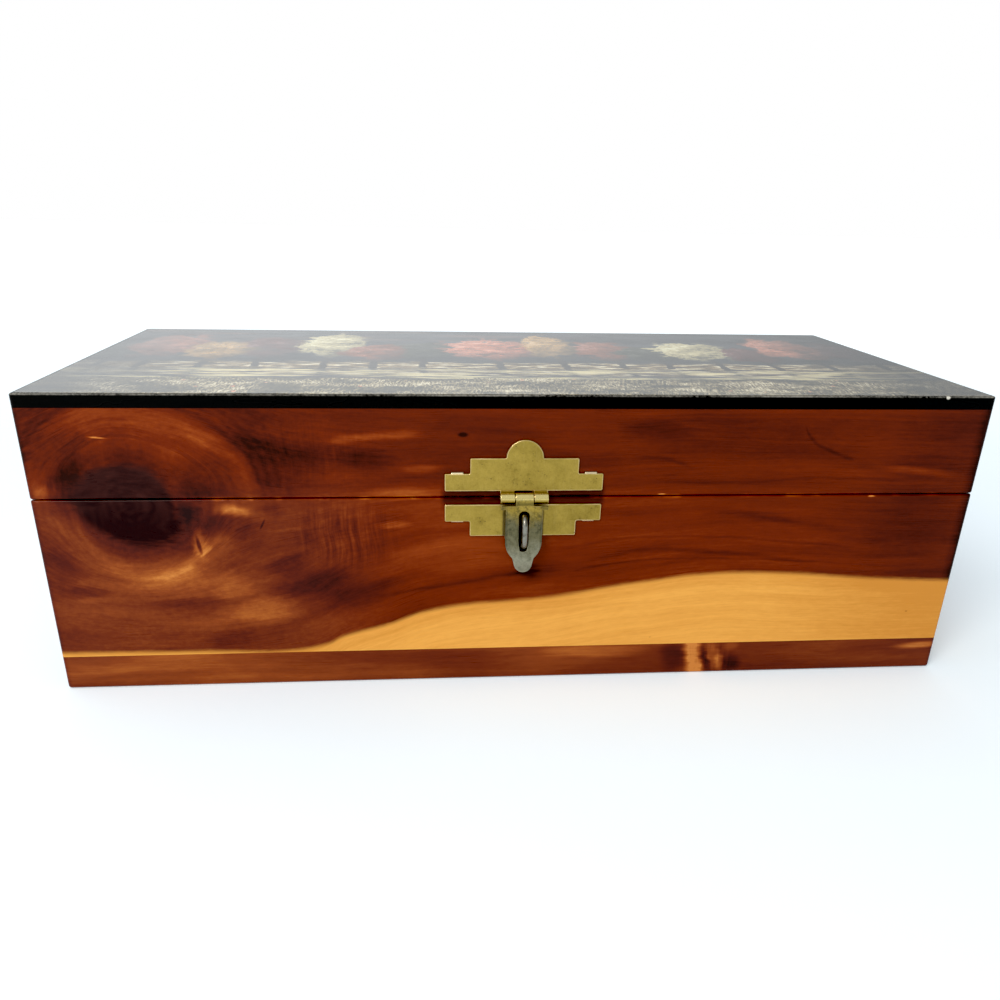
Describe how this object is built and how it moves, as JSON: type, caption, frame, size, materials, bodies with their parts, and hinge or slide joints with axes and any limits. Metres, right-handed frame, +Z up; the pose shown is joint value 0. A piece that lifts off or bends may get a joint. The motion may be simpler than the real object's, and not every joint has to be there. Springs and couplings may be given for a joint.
{
  "type": "decorative box",
  "caption": "Small cedar keepsake box with a back-hinged lid, a glossy picture on its top and a swinging brass hasp over a wire staple on the front.",
  "frame": {"origin": "middle of the underside, on the surface that the box stands on", "axes": "+X along the box's width, +Y from the front with the hasp to the back with the hinges, +Z up"},
  "size_m": [0.2286, 0.1104, 0.075],
  "materials": {
    "cedar": "varnished red cedar with dark heartwood, pale sapwood and a knot",
    "cedar_bottom": "varnished red cedar",
    "black_panel": "thin panel with a glossy black painted edge",
    "picture_print": "printed sheet under gloss varnish",
    "hasp_brass": "aged stamped brass, olive-gold and lightly speckled",
    "strap_metal": "brass wash worn through to grey metal",
    "staple_wire": "plated steel wire",
    "hinge_brass": "aged stamped brass",
    "nail_brass": "brass-washed nail heads",
    "brad_steel": "bright steel"
  },
  "bodies": {
    "base": {"bottom_board": "cedar_bottom", "bottom_brads": "brad_steel", "base_front_wall": "cedar", "base_back_wall": "cedar", "base_left_wall": "cedar", "base_right_wall": "cedar", "hasp_keeper_plate": "hasp_brass", "hasp_staple": "staple_wire", "hinge_base_leaf_left": "hinge_brass", "hinge_base_leaf_right": "hinge_brass", "hinge_pin_left": "hinge_brass", "hinge_pin_right": "hinge_brass", "hinge_base_nails": "nail_brass"},
    "lid": {"lid_front_wall": "cedar", "lid_back_wall": "cedar", "lid_left_wall": "cedar", "lid_right_wall": "cedar", "top_panel": "black_panel", "picture_sheet": "picture_print", "hasp_upper_plate": "hasp_brass", "hasp_pin": "hasp_brass", "hinge_lid_leaf_left": "hinge_brass", "hinge_lid_leaf_right": "hinge_brass", "hinge_lid_nails": "nail_brass"},
    "hasp_strap": {"hasp_strap": "strap_metal"}
  },
  "joints": [
    {"name": "lid_hinge", "type": "hinge", "parent": "base", "child": "lid", "pos_m": [0, 0.05255, 0.05025], "axis": [-1, 0, 0], "range_deg": [0, 180]},
    {"name": "hasp_swing", "type": "hinge", "parent": "lid", "child": "hasp_strap", "pos_m": [0, -0.0523, 0.05045], "axis": [-1, 0, 0], "range_deg": [0, 150]}
  ]
}
